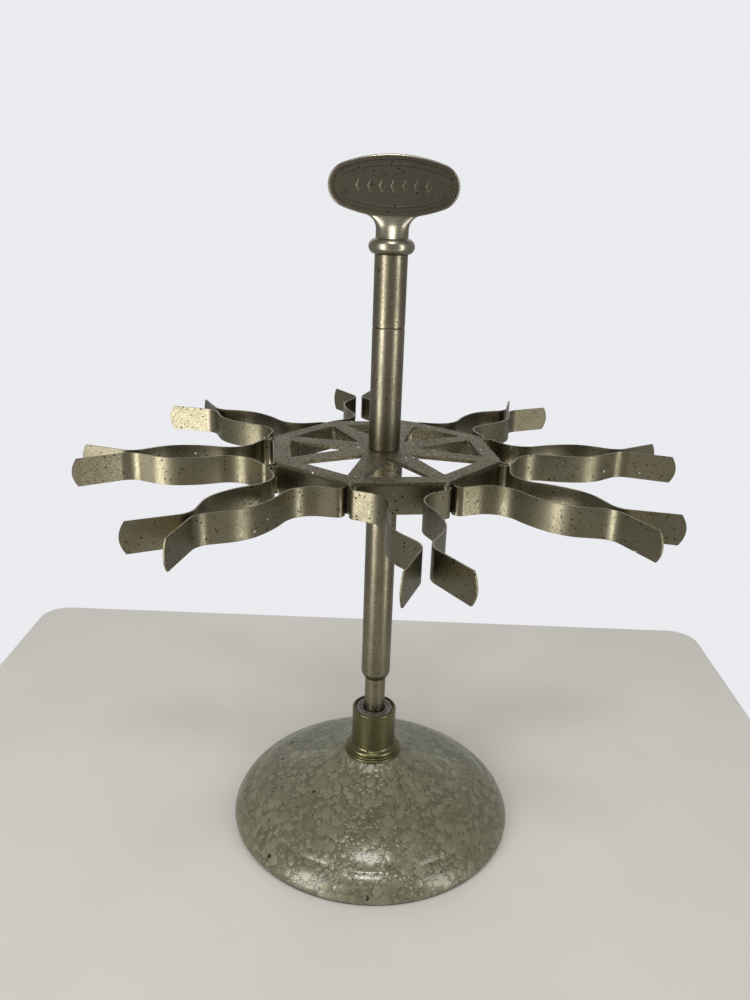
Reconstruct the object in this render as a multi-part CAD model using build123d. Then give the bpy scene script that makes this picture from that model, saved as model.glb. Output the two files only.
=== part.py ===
from build123d import *
import math
import os

# Rotating desk rack for rubber stamps. A spindle turns on a ball in the socket of a
# domed base. It carries an octagonal wheel with one spring clip on each of its sides.
# Millimetres, +Z up. The origin is the middle of the foot pad's underside, on the
# spindle's axis. The finial's oval plate faces -Y.

# --- base ---
BASE_R = 63.5            # five inches across
PAD_R = 62.4
PAD_T = 0.8
SHELL_T = 5.0
DOME_TOP_Z = 32.0
DOME_FLAT_R = 13.2       # flat seat under the trim ring
CREASE = (55.6, 10.8)    # radius and height of the lower ring line of the dome
RIDGE = (52.0, 13.9)     # radius and height of the upper ring line
SEAT_R = 12.0            # flat underside around the tail, where the washer bears

# --- socket ---
RING_R = 12.9
RING_T = 1.0
RING_ROUND = 0.35
FLANGE_R = 12.3
FLANGE_T = 2.6
COLLAR_R = 9.8
COLLAR_TOP_Z = 54.0
COVE_R = 1.2
TAIL_R = 7.0
TAIL_BOTTOM_Z = 19.5
BUSH_R = 8.7
BUSH_BOTTOM_Z = 36.0
BUSH_SINK = 0.3          # the bush stands this far below the collar's mouth
BUSH_STEP = 0.6          # depth and width of the step round its top edge
FACE_GROOVE_R = 6.6      # fine groove in its face: outer radius, width and depth
FACE_GROOVE = 0.3
BALL_R = 4.0
BALL_BOTTOM_Z = 24.0
WASHER_R = 11.5
WASHER_T = 1.2
NUT_FLATS = 19.0
NUT_T = 4.5

# --- spindle and sleeves ---
TUBE_R = 6.35            # half-inch post
JOURNAL_R = 4.55
RUNNING_GAP = 0.06       # radial play of the journal and of the ball
SHOULDER_Z = 69.8
SHOULDER_H = 3.0
SHOULDER_LIP = 0.35
STEM_R = 4.75
STEM_TOP_Z = 218.0
THREAD_R = 3.9
THREAD_TOP_Z = 240.0
SLEEVE_BORE_R = 4.85
JOINT_Z = 224.6          # seam between the two upper sleeves
SLEEVE_TOP_Z = 252.0
END_CHAMFER = 0.4

# --- wheel ---
SIDES = 8
STEP = 360 / SIDES
PHASE = 8.0              # first clip's direction, degrees from +X
APOTHEM = 44.25          # axis to the middle of a side
WHEEL_TOP_Z = 175.7
WHEEL_DEPTH = 12.3
WEB_T = 1.5
WALL_T = 1.8
BOSS_R = 7.8
WINDOW_TIP = 13.2        # axis to the inner corner of a window
WINDOW_OUT = 38.0        # axis to the window's outer side
WINDOW_HALF = 12.4
WINDOW_ROUND = 1.0
CORNER_ROUND = 1.6
TOP_ROUND = 0.5

# --- clips ---
STRIP_T = 0.7
STRIP_H = 11.1
CLIP_DROP = 1.2          # clip's top edge below the wheel's top
BACK_HALF = 15.4         # middle of the back to the start of the loop
# The arm's middle line from the end of the back to the tip: arcs as (radius, turn in
# degrees, left positive) and straights as (length, None).
ARM = [
    (2.6, -150),
    (5.6, None),
    (11.7, 78),
    (1.7, None),
    (43.0, -18),
    (19.8, -32),
    (6.0, None),
    (8.0, 58),
    (19.0, None),
]
TIP_BULGE = 2.0          # how far the rounded tip stands out at mid height

# --- finial ---
BEAD_R = 8.8
BEAD_H = 5.4
BEAD_ROUND = 1.6         # how far the bead stands out from its flat ends
NECK_R = 6.25
SPIGOT_R = 4.7
SPIGOT_BOTTOM_Z = 221.0
OVAL_Z = 276.0
OVAL_HALF_W = 24.35
OVAL_HALF_H = 11.1
OVAL_END_R = 8.2
PLATE_T = 4.4
PLATE_ROUND = 0.6
RIM_W = 1.7
RECESS = 0.6
LINE_W = 0.6
LINE_INSET = 1.6
NECK_WAIST_Z = 261.0
NECK_TOP_Z = 266.4


def turned(outline):
    """Solid of revolution about Z from an outline drawn as (radius, height)."""
    return revolve(Plane.XZ * make_face(outline), Axis.Z)


def turned_points(*points):
    """Solid of revolution from straight runs between (radius, height) corners."""
    return turned(Polyline(*points, close=True))


def cylinder(radius, bottom, top):
    """Upright cylinder on the axis, given by its end heights."""
    return Pos(0, 0, bottom) * extrude(Circle(radius), top - bottom)


def bore(radius):
    """Cylinder that goes right through any piece on the axis."""
    return cylinder(radius, -1, 300)


def around(piece, index):
    """The piece turned to the side of the wheel with that number, counted from 0."""
    return Rot(0, 0, PHASE + STEP * index) * piece


def foot_pad():
    return cylinder(PAD_R, 0, PAD_T)


def base_dome():
    """Cast shell: a rounded rim, two ring lines, then an ogee up to the socket."""
    rim_foot = (BASE_R, PAD_T + 1.2)
    outer = [
        Line((TAIL_R, DOME_TOP_Z), (DOME_FLAT_R, DOME_TOP_Z)),
        Spline((DOME_FLAT_R, DOME_TOP_Z), (16.4, 29.9), (20, 28.1), (30, 23.7), (40, 19.8), (47, 16.8), RIDGE),
        ThreePointArc(RIDGE, (53.9, 12.5), CREASE),
        ThreePointArc(CREASE, (61.2, 6.4), rim_foot),
        Line(rim_foot, (BASE_R - 0.6, PAD_T)),
    ]
    inner_r = BASE_R - SHELL_T
    seat_z = DOME_TOP_Z - SHELL_T
    inner = [
        Line((BASE_R - 0.6, PAD_T), (inner_r, PAD_T)),
        ThreePointArc((inner_r, PAD_T), (56.4, 4.6), (51, 8)),
        Spline((51, 8), (40, 13.8), (30, 18.2), (20, 22.6), (SEAT_R, seat_z)),
        Line((SEAT_R, seat_z), (TAIL_R, seat_z)),
        Line((TAIL_R, seat_z), (TAIL_R, DOME_TOP_Z)),
    ]
    return turned(outer + inner)


def trim_ring():
    ring = cylinder(RING_R, DOME_TOP_Z, DOME_TOP_Z + RING_T) - bore(TAIL_R)
    return fillet(ring.edges().filter_by(GeomType.CIRCLE).sort_by(SortBy.RADIUS)[-2:], RING_ROUND)


def socket_collar():
    """Collar with a beaded foot, and a threaded tail that goes through the dome."""
    foot_z = DOME_TOP_Z + RING_T
    flange_z = foot_z + FLANGE_T
    cove_z = flange_z + COVE_R
    outer = [
        Line((0, TAIL_BOTTOM_Z), (TAIL_R, TAIL_BOTTOM_Z)),
        Line((TAIL_R, TAIL_BOTTOM_Z), (TAIL_R, foot_z)),
        Line((TAIL_R, foot_z), (FLANGE_R - 0.5, foot_z)),
        ThreePointArc((FLANGE_R - 0.5, foot_z), (FLANGE_R, foot_z + 1.1), (COLLAR_R + COVE_R, flange_z)),
        ThreePointArc((COLLAR_R + COVE_R, flange_z), (COLLAR_R + 0.35, cove_z - 0.85), (COLLAR_R, cove_z)),
        Line((COLLAR_R, cove_z), (COLLAR_R, COLLAR_TOP_Z - END_CHAMFER)),
        Line((COLLAR_R, COLLAR_TOP_Z - END_CHAMFER), (COLLAR_R - END_CHAMFER, COLLAR_TOP_Z)),
        Line((COLLAR_R - END_CHAMFER, COLLAR_TOP_Z), (0, COLLAR_TOP_Z)),
        Line((0, COLLAR_TOP_Z), (0, TAIL_BOTTOM_Z)),
    ]
    body = turned(outer)
    body -= cylinder(BUSH_R, BUSH_BOTTOM_Z, COLLAR_TOP_Z + 1)
    body -= cylinder(JOURNAL_R + 4 * RUNNING_GAP, ball_top() - 0.5, BUSH_BOTTOM_Z)
    body -= cylinder(BALL_R + RUNNING_GAP, BALL_BOTTOM_Z, ball_top())
    return body


def ball_top():
    return BALL_BOTTOM_Z + 2 * BALL_R


def socket_bush():
    """Bearing bush, with a groove round its outside edge and a fine one in its face."""
    top = COLLAR_TOP_Z - BUSH_SINK
    bush = cylinder(BUSH_R, BUSH_BOTTOM_Z, top) - bore(JOURNAL_R + RUNNING_GAP)
    bush -= cylinder(BUSH_R, top - BUSH_STEP, top) - bore(BUSH_R - BUSH_STEP)
    bush -= cylinder(FACE_GROOVE_R, top - FACE_GROOVE, top) - bore(FACE_GROOVE_R - FACE_GROOVE)
    return bush


def thrust_ball():
    return Pos(0, 0, BALL_BOTTOM_Z + BALL_R) * Sphere(BALL_R)


def lock_washer():
    top = DOME_TOP_Z - SHELL_T
    return cylinder(WASHER_R, top - WASHER_T, top) - bore(TAIL_R)


def base_nut():
    top = DOME_TOP_Z - SHELL_T - WASHER_T
    flats = RegularPolygon(NUT_FLATS / 2, 6, major_radius=False)
    return Pos(0, 0, top - NUT_T) * extrude(flats, NUT_T) - bore(TAIL_R)


def spindle():
    """One turned bar: journal, rounded shoulder, post, stem and threaded end."""
    shoulder_top = SHOULDER_Z + SHOULDER_H
    hub_z = WHEEL_TOP_Z - WHEEL_DEPTH
    foot_r = JOURNAL_R + SHOULDER_LIP
    outline = [
        Line((0, ball_top()), (JOURNAL_R - END_CHAMFER, ball_top())),
        Line((JOURNAL_R - END_CHAMFER, ball_top()), (JOURNAL_R, ball_top() + END_CHAMFER)),
        Line((JOURNAL_R, ball_top() + END_CHAMFER), (JOURNAL_R, SHOULDER_Z)),
        Line((JOURNAL_R, SHOULDER_Z), (foot_r, SHOULDER_Z)),
        ThreePointArc((foot_r, SHOULDER_Z), (TUBE_R - 0.5, SHOULDER_Z + 1.5), (TUBE_R, shoulder_top)),
        Polyline((TUBE_R, shoulder_top), (TUBE_R, hub_z), (STEM_R, hub_z), (STEM_R, STEM_TOP_Z)),
        Polyline((STEM_R, STEM_TOP_Z), (THREAD_R, STEM_TOP_Z), (THREAD_R, THREAD_TOP_Z)),
        Polyline((THREAD_R, THREAD_TOP_Z), (0, THREAD_TOP_Z), (0, ball_top())),
    ]
    return turned(outline)


def sleeve(bottom, top):
    """Plain tube with broken outer edges, over the stem."""
    inner = TUBE_R - END_CHAMFER
    return turned_points(
        (SLEEVE_BORE_R, bottom),
        (inner, bottom),
        (TUBE_R, bottom + END_CHAMFER),
        (TUBE_R, top - END_CHAMFER),
        (inner, top),
        (SLEEVE_BORE_R, top),
    )


def octagon(apothem):
    """Eight-sided outline with a side facing +X, corners rounded."""
    corners = RegularPolygon(apothem, SIDES, major_radius=False, rotation=STEP / 2).vertices()
    return fillet(corners, CORNER_ROUND)


def window():
    """Three-cornered opening between two spokes, towards +X."""
    corners = Polyline(
        (WINDOW_TIP, 0), (WINDOW_OUT, WINDOW_HALF), (WINDOW_OUT, -WINDOW_HALF), close=True
    )
    return fillet(make_face(corners).vertices(), WINDOW_ROUND)


def wheel():
    """Casting: a thin web with eight windows, a deep rim wall and a hub boss."""
    bottom = WHEEL_TOP_Z - WHEEL_DEPTH
    web_z = WHEEL_TOP_Z - WEB_T
    block = Pos(0, 0, bottom) * extrude(octagon(APOTHEM), WHEEL_DEPTH)
    block = fillet(block.edges().group_by(Axis.Z)[-1], TOP_ROUND)
    block -= Pos(0, 0, bottom) * extrude(octagon(APOTHEM - WALL_T), web_z - bottom)
    for index in range(SIDES):
        block -= Rot(0, 0, STEP * index) * Pos(0, 0, web_z - 1) * extrude(window(), WEB_T + 2)
    block += cylinder(BOSS_R, bottom, WHEEL_TOP_Z)
    block -= bore(SLEEVE_BORE_R)
    return Rot(0, 0, PHASE) * block


def arm_path():
    """Middle line of half a clip: half the back, the loop, the neck, the swell and the tip."""
    x = APOTHEM + STRIP_T / 2
    path = [Line((x, 0), (x, BACK_HALF))]
    for size, turn in ARM:
        end = path[-1] @ 1
        heading = path[-1] % 1
        if turn is None:
            path.append(Line(end, end + heading * size))
        else:
            path.append(JernArc(end, heading, size, turn))
    return path


def clip():
    """One spring strip bent into a back, two loops and two arms, towards +X."""
    path = Wire(arm_path())
    section = Plane(origin=path @ 0, x_dir=(1, 0, 0), z_dir=path % 0) * Rectangle(STRIP_T, STRIP_H)
    half = sweep(section, path=path)
    strip = half + mirror(half, Plane.XZ)
    tip_x = (path @ 1).X
    side = [
        Line((APOTHEM - 1, -STRIP_H), (APOTHEM - 1, STRIP_H)),
        Line((APOTHEM - 1, STRIP_H), (tip_x - TIP_BULGE, STRIP_H)),
        Line((tip_x - TIP_BULGE, STRIP_H), (tip_x - TIP_BULGE, STRIP_H / 2)),
        ThreePointArc((tip_x - TIP_BULGE, STRIP_H / 2), (tip_x, 0), (tip_x - TIP_BULGE, -STRIP_H / 2)),
        Line((tip_x - TIP_BULGE, -STRIP_H / 2), (tip_x - TIP_BULGE, -STRIP_H)),
        Line((tip_x - TIP_BULGE, -STRIP_H), (APOTHEM - 1, -STRIP_H)),
    ]
    rounded = extrude(Plane.XZ * make_face(side), 2 * BACK_HALF, both=True)
    middle_z = WHEEL_TOP_Z - CLIP_DROP - STRIP_H / 2
    return Pos(0, 0, middle_z) * (strip & rounded)


def oval(inset):
    """Four-arc oval in the XZ plane, smaller all round by the inset."""
    half_w = OVAL_HALF_W - inset
    half_h = OVAL_HALF_H - inset
    end_r = OVAL_END_R - inset
    end_x = half_w - end_r
    rise = half_h - end_r
    drop = (end_x**2 - rise**2) / (2 * rise)
    big_r = half_h + drop
    join_x = big_r * end_x / math.hypot(end_x, drop)
    join_z = big_r * drop / math.hypot(end_x, drop) - drop
    arcs = [
        ThreePointArc((-join_x, join_z), (0, half_h), (join_x, join_z)),
        ThreePointArc((join_x, join_z), (half_w, 0), (join_x, -join_z)),
        ThreePointArc((join_x, -join_z), (0, -half_h), (-join_x, -join_z)),
        ThreePointArc((-join_x, -join_z), (-half_w, 0), (-join_x, join_z)),
    ]
    return Pos(0, 0, OVAL_Z) * (Plane.XZ * make_face(arcs))


def finial():
    """Knob with a tapped spigot, a bead, a flattened neck and an oval plate."""
    bead_top = SLEEVE_TOP_Z + BEAD_H
    bead = turned(
        [
            Line((0, SLEEVE_TOP_Z), (BEAD_R - BEAD_ROUND, SLEEVE_TOP_Z)),
            ThreePointArc(
                (BEAD_R - BEAD_ROUND, SLEEVE_TOP_Z), (BEAD_R, SLEEVE_TOP_Z + BEAD_H / 2), (BEAD_R - BEAD_ROUND, bead_top)
            ),
            Line((BEAD_R - BEAD_ROUND, bead_top), (0, bead_top)),
            Line((0, bead_top), (0, SLEEVE_TOP_Z)),
        ]
    )
    neck = loft(
        [
            Pos(0, 0, bead_top - 0.5) * Circle(NECK_R),
            Pos(0, 0, NECK_WAIST_Z) * Ellipse(NECK_R - 0.1, 3.9),
            Pos(0, 0, NECK_TOP_Z) * Ellipse(2 * NECK_R - 1.5, PLATE_T / 2 - 0.3),
        ]
    )
    plate = extrude(oval(0), PLATE_T / 2, both=True)
    plate = fillet(plate.edges(), PLATE_ROUND)
    for side in (1, -1):
        floor = Pos(0, side * PLATE_T / 2, 0) * extrude(oval(RIM_W), RECESS, both=True)
        line = extrude(oval(RIM_W + LINE_INSET), PLATE_T / 2, both=True)
        line -= extrude(oval(RIM_W + LINE_INSET + LINE_W), PLATE_T / 2, both=True)
        plate -= floor - line
    knob = cylinder(SPIGOT_R, SPIGOT_BOTTOM_Z, SLEEVE_TOP_Z + 0.5) + bead + neck + plate
    return knob - cylinder(THREAD_R, 0, THREAD_TOP_Z)


PARTS = {
    "foot_pad": foot_pad,
    "base_dome": base_dome,
    "trim_ring": trim_ring,
    "socket_collar": socket_collar,
    "socket_bush": socket_bush,
    "lock_washer": lock_washer,
    "base_nut": base_nut,
    "thrust_ball": thrust_ball,
    "spindle": spindle,
    "wheel": wheel,
    "middle_sleeve": lambda: sleeve(WHEEL_TOP_Z, JOINT_Z),
    "upper_sleeve": lambda: sleeve(JOINT_Z, SLEEVE_TOP_Z),
    "finial": finial,
}

os.makedirs("parts", exist_ok=True)
for name, make in PARTS.items():
    export_step(make(), f"parts/{name}.step")
one_clip = clip()
for index in range(SIDES):
    export_step(around(one_clip, index), f"parts/clip_{index + 1}.step")
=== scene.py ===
# %% [markdown]
# # A carousel rack for rubber stamps
# The rack stands on a desk. A domed base carries a socket, a spindle turns in the socket, and
# an eight-sided wheel near the top holds one sprung clip on each side. Each clip grips the
# neck of a stamp's handle. The CAD model fixes every size and every joint. This lesson builds
# the surfaces that the eye sees around that model, one piece at a time.

import math

import bmesh
import bpy
from mathutils import Matrix, Vector


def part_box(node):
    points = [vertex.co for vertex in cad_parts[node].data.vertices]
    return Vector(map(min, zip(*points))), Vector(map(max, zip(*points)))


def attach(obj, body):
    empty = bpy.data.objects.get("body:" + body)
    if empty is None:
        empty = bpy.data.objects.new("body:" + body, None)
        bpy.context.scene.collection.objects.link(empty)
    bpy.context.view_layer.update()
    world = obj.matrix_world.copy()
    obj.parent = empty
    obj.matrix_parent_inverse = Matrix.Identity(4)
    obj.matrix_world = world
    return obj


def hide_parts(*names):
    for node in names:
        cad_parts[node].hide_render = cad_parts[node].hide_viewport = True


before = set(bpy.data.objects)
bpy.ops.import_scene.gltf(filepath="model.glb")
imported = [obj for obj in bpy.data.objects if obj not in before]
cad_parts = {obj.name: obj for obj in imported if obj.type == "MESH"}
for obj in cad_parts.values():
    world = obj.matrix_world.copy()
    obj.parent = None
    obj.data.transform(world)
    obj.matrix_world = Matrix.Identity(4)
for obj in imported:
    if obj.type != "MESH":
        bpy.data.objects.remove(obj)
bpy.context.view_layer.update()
MM = 0.001

# %% [markdown]
# ## The camera comes first
# The rack is seen from a little above, from about a forearm's length away, with a wide lens.
# That is how close desk objects look to a standing person, and the wide lens makes the near
# clips larger than the far ones. The camera leans by about two degrees, as a camera held in
# the hand does. Its place is worked out from four plain values, so it can be moved with ease.

# %% Place the camera
CAMERA_DISTANCE = 0.3362
CAMERA_HEIGHT = 0.2717
PAN = math.radians(-0.5)
PITCH = math.radians(19.43)
ROLL = math.radians(2.0)
LENS = 30.82


def aim_camera():
    """Puts the camera in front of the rack and returns it."""
    ahead = Vector((math.sin(PAN) * math.cos(PITCH), math.cos(PAN) * math.cos(PITCH), -math.sin(PITCH)))
    level = Vector((math.cos(PAN), -math.sin(PAN), 0))
    up = level.cross(ahead)
    right = level * math.cos(ROLL) + up * math.sin(ROLL)
    up = right.cross(ahead)
    bpy.ops.object.camera_add()
    camera = bpy.context.object
    camera.name = "camera"
    turn = Matrix((right, up, -ahead)).transposed().to_4x4()
    camera.matrix_world = Matrix.Translation((0, -CAMERA_DISTANCE, CAMERA_HEIGHT)) @ turn
    camera.data.lens = LENS
    bpy.context.scene.camera = camera
    return camera


print("camera at", tuple(round(value, 3) for value in aim_camera().location))

# %% [markdown]
# ## A clean start for every piece
# An edit-mode operator acts on all that is selected, and loading the frame leaves its nodes
# selected. So each piece begins by deselecting everything. A second helper picks vertices,
# edges or faces by a test on their place, which is what a person does by eye.

# %% Helpers for selecting


def deselect_all():
    """Leaves edit mode and selects nothing."""
    if bpy.context.object and bpy.context.object.mode != "OBJECT":
        bpy.ops.object.mode_set(mode="OBJECT")
    bpy.ops.object.select_all(action="DESELECT")


def select_where(kind, test):
    """Selects the VERT, EDGE or FACE items of the edited mesh that pass the test."""
    bpy.ops.mesh.select_mode(type=kind)
    bpy.ops.mesh.select_all(action="DESELECT")
    mesh = bmesh.from_edit_mesh(bpy.context.object.data)
    items = {"VERT": mesh.verts, "EDGE": mesh.edges, "FACE": mesh.faces}[kind]
    for item in items:
        if test(item):
            item.select_set(True)
    bmesh.update_edit_mesh(bpy.context.object.data)


def name_active(name):
    """Names the active object and its mesh, and returns the object."""
    piece = bpy.context.object
    piece.name = name
    piece.data.name = name
    return piece


# %% Helpers for making and finishing


def start_point(name, place):
    """Starts a mesh as one vertex, which stays selected in edit mode."""
    deselect_all()
    bpy.ops.mesh.primitive_circle_add(vertices=3, radius=MM)
    piece = name_active(name)
    bpy.ops.object.mode_set(mode="EDIT")
    bpy.ops.mesh.select_mode(type="VERT")
    bpy.ops.mesh.merge(type="CENTER")
    bpy.ops.transform.translate(value=place)
    return piece


def extrude(move):
    bpy.ops.mesh.extrude_region_move(TRANSFORM_OT_translate={"value": move})


def close_mesh():
    """Merges doubles, turns the faces outwards and leaves edit mode."""
    bpy.ops.mesh.select_all(action="SELECT")
    bpy.ops.mesh.remove_doubles(threshold=0.002 * MM)
    bpy.ops.mesh.normals_make_consistent(inside=False)
    bpy.ops.object.mode_set(mode="OBJECT")


def use_modifier(piece, kind, **settings):
    """Adds a modifier to the piece and applies it at once."""
    bpy.context.view_layer.objects.active = piece
    modifier = piece.modifiers.new(kind, kind)
    for key, value in settings.items():
        setattr(modifier, key, value)
    bpy.ops.object.modifier_apply(modifier=modifier.name)


def soften(piece, width, angle=40, segments=2):
    """Rounds each edge that is sharper than the angle, by a width in millimetres."""
    use_modifier(
        piece, "BEVEL", width=width * MM, segments=segments, limit_method="ANGLE",
        angle_limit=math.radians(angle), use_clamp_overlap=True,
    )


SMOOTH_BELOW = 38


def finish_piece(piece, body, slot, *nodes):
    """Smooths the shading, hangs the piece on its body and hides the CAD nodes it stands for."""
    deselect_all()
    piece.select_set(True)
    bpy.context.view_layer.objects.active = piece
    bpy.ops.object.shade_smooth_by_angle(angle=math.radians(SMOOTH_BELOW))
    use_modifier(piece, "WEIGHTED_NORMAL", keep_sharp=True)
    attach(piece, body)
    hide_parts(*nodes)
    piece.data.calc_loop_triangles()
    print(piece.name, len(piece.data.loop_triangles), "triangles")
    return piece


# %% [markdown]
# ## Turned pieces
# The base, the socket, the spindle and the sleeves are all round about one line. A maker turns
# them on a lathe. They could be made from cylinders joined with booleans, but the edges would
# be rough. Drawing half of the outline with one vertex and spinning it is closer to the lathe,
# and every fillet stays exact. Arcs and smooth lines are worked out between a few points.

# %% Helpers for outlines


def arc(start, through, end, steps=8):
    """Points from start to end along the circle through all three, without the start."""
    (ax, ay), (bx, by), (cx, cy) = start, through, end
    scale = 2 * (ax * (by - cy) + bx * (cy - ay) + cx * (ay - by))
    a2, b2, c2 = ax * ax + ay * ay, bx * bx + by * by, cx * cx + cy * cy
    ox = (a2 * (by - cy) + b2 * (cy - ay) + c2 * (ay - by)) / scale
    oy = (a2 * (cx - bx) + b2 * (ax - cx) + c2 * (bx - ax)) / scale
    radius = math.hypot(ax - ox, ay - oy)
    first = math.atan2(ay - oy, ax - ox)
    turn = (math.atan2(cy - oy, cx - ox) - first) % math.tau
    middle = (math.atan2(by - oy, bx - ox) - first) % math.tau
    if middle > turn:
        turn -= math.tau
    angles = [first + turn * step / steps for step in range(1, steps + 1)]
    return [(ox + radius * math.cos(angle), oy + radius * math.sin(angle)) for angle in angles]


def smooth_line(points, steps=8):
    """Points of a smooth line through all the given ones, without the first."""
    ends = [points[0]] + list(points) + [points[-1]]
    line = []
    for before, start, end, after in zip(ends, ends[1:], ends[2:], ends[3:]):
        for step in range(1, steps + 1):
            t = step / steps
            weights = (-t + 2 * t**2 - t**3, 2 - 5 * t**2 + 3 * t**3, t + 4 * t**2 - 3 * t**3, t**3 - t**2)
            corners = (before, start, end, after)
            line.append(tuple(sum(w * c[axis] for w, c in zip(weights, corners)) / 2 for axis in (0, 1)))
    return line


def turned(name, outline, steps=96):
    """Spins an outline of (radius, height) in millimetres round the spindle's axis."""
    places = [Vector((radius * MM, 0, height * MM)) for radius, height in outline]
    piece = start_point(name, places[0])
    for start, end in zip(places, places[1:]):
        extrude(end - start)
    bpy.ops.mesh.select_all(action="SELECT")
    bpy.ops.mesh.spin(steps=steps, angle=math.tau, center=(0, 0, 0), axis=(0, 0, 1))
    close_mesh()
    return piece


# %% [markdown]
# ## The domed base
# The real base is a heavy casting, so that the rack can't tip when stamps hang on one side. Its
# outline falls in an ogee from the socket to two ring lines near the rim, then rolls over to
# the table. The ring lines catch the light, so they get the closest points.

# %% Model the base
BASE_LOW, BASE_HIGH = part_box("base_dome")
BASE_R = BASE_HIGH.x / MM
BASE_FOOT = BASE_LOW.z / MM
BASE_TOP = BASE_HIGH.z / MM
TAIL_R = 7.0
SEAT_R = 13.2
RIDGE = (52.0, 13.9)
CREASE = (55.6, 10.8)
UNDERCUT = (56.4, 4.6)
WALL = 5.0


def base_outline():
    ogee = [(SEAT_R, BASE_TOP), (16.4, 29.9), (20, 28.1), (30, 23.7), (40, 19.8), (47, 16.8), RIDGE]
    roll_end = (BASE_R, BASE_FOOT + 1.2)
    inside = [(51, 8), (40, 13.8), (30, 18.2), (20, 22.6), (12, BASE_TOP - WALL)]
    outline = [(TAIL_R, BASE_TOP), (SEAT_R, BASE_TOP)]
    outline += smooth_line(ogee, 10)
    outline += arc(RIDGE, (53.9, 12.5), CREASE, 8)
    outline += arc(CREASE, (61.2, 6.4), roll_end, 18)
    outline += [(BASE_R - 0.6, BASE_FOOT), (BASE_R - WALL, BASE_FOOT), UNDERCUT]
    outline += [inside[0]] + smooth_line(inside, 4)
    outline += [(TAIL_R, BASE_TOP - WALL), (TAIL_R, BASE_TOP)]
    return outline


base = turned("base", base_outline(), 160)
soften(base, 0.18, 24, 3)
print("base", round(2 * BASE_R, 1), "mm across and", round(BASE_TOP, 1), "mm high")

# %% [markdown]
# ## The socket
# The collar is one turning with a beaded foot, and a thin trim ring lies under it. The bead,
# the two fine grooves and the bright lip are small, but they are what makes the socket look
# turned. The bush in its mouth has a groove round its edge and a fine line in its face.

# %% Model the collar, the trim ring and the bush
RING_LOW, RING_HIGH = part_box("trim_ring")
COLLAR_LOW, COLLAR_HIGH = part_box("socket_collar")
BUSH_LOW, BUSH_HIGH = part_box("socket_bush")
COLLAR_R = 9.8
FLANGE_R = COLLAR_HIGH.x / MM
FOOT = RING_HIGH.z / MM
LIP = COLLAR_HIGH.z / MM
BUSH_R = BUSH_HIGH.x / MM
BUSH_FOOT = BUSH_LOW.z / MM
BUSH_TOP = BUSH_HIGH.z / MM
JOURNAL_R = 4.55
RUNNING_GAP = 0.06
FACE_LINE = [(6.2, 0), (6.3, 0.3), (6.5, 0.3), (6.6, 0)]
BALL_LOW, BALL_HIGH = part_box("thrust_ball")


def collar_outline():
    tail_end = COLLAR_LOW.z / MM
    bore_r = JOURNAL_R + 4 * RUNNING_GAP
    pocket_r = BALL_HIGH.x / MM + RUNNING_GAP
    pocket_top = BALL_HIGH.z / MM - 0.5
    pocket_foot = BALL_LOW.z / MM
    bead_start = (FLANGE_R - 0.7, FOOT + 0.85)
    bead_end = (COLLAR_R + 1.0, FOOT + 2.6)
    outline = [(0, tail_end), (TAIL_R - 0.5, tail_end), (TAIL_R, tail_end + 0.5), (TAIL_R, FOOT)]
    outline += [(FLANGE_R - 0.3, FOOT)]
    outline += arc((FLANGE_R - 0.3, FOOT), (FLANGE_R, FOOT + 0.35), (FLANGE_R - 0.25, FOOT + 0.7), 5)
    outline += [bead_start]
    outline += arc(bead_start, (FLANGE_R - 0.75, FOOT + 1.9), bead_end, 9)
    outline += arc(bead_end, (COLLAR_R + 0.3, FOOT + 2.95), (COLLAR_R, FOOT + 3.9), 6)
    outline += [(COLLAR_R, LIP - 0.55), (COLLAR_R - 0.2, LIP - 0.15), (COLLAR_R - 0.55, LIP)]
    outline += [(BUSH_R + 0.15, LIP), (BUSH_R, LIP - 0.2), (BUSH_R, BUSH_FOOT), (bore_r, BUSH_FOOT)]
    outline += [(bore_r, pocket_top), (pocket_r, pocket_top), (pocket_r, pocket_foot), (0, pocket_foot)]
    return outline


def ring_outline():
    low, top, outer = RING_LOW.z / MM, FOOT, RING_HIGH.x / MM
    outline = [(TAIL_R, low), (outer, low), (outer, low + 0.3)]
    outline += arc((outer, low + 0.3), (outer - 0.15, top - 0.15), (outer - 0.6, top), 5)
    return outline + [(TAIL_R, top), (TAIL_R, low)]


def bush_outline():
    bore_r = JOURNAL_R + RUNNING_GAP
    edge, step = (BUSH_R - 0.8, BUSH_TOP), (BUSH_R - 0.6, BUSH_TOP - 0.6)
    outline = [(bore_r, BUSH_FOOT), (bore_r, BUSH_TOP - 0.7), (bore_r + 0.6, BUSH_TOP)]
    outline += [(radius, BUSH_TOP - depth) for radius, depth in FACE_LINE] + [edge]
    outline += arc(edge, (BUSH_R - 0.65, BUSH_TOP - 0.12), step, 4)
    return outline + [(BUSH_R, BUSH_TOP - 0.6), (BUSH_R, BUSH_FOOT), (bore_r, BUSH_FOOT)]


collar = turned("collar", collar_outline())
ring = turned("ring", ring_outline())
bush = turned("bush", bush_outline())
print("socket from", round(FOOT, 2), "to", round(LIP, 2), "mm")

# %% [markdown]
# ## The spindle and the sleeves
# The spindle is one bar: a thin journal, a rounded shoulder, the long post, and inside the
# wheel a thinner stem with a threaded end. Two plain sleeves slide over the stem. Their broken
# edges leave the fine dark seam that shows where they meet.

# %% Model the spindle and the sleeves
SPINDLE_LOW, SPINDLE_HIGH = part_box("spindle")
WHEEL_LOW, WHEEL_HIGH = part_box("wheel")
SLEEVE_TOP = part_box("upper_sleeve")[1].z / MM
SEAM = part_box("middle_sleeve")[1].z / MM
POST_R = SPINDLE_HIGH.x / MM
HUB_FOOT = WHEEL_LOW.z / MM
WHEEL_TOP = WHEEL_HIGH.z / MM
SHOULDER = 69.8
STEM_R = 4.75
STEM_TOP = 218.0
THREAD_R = 3.9
BORE_R = 4.85


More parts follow.
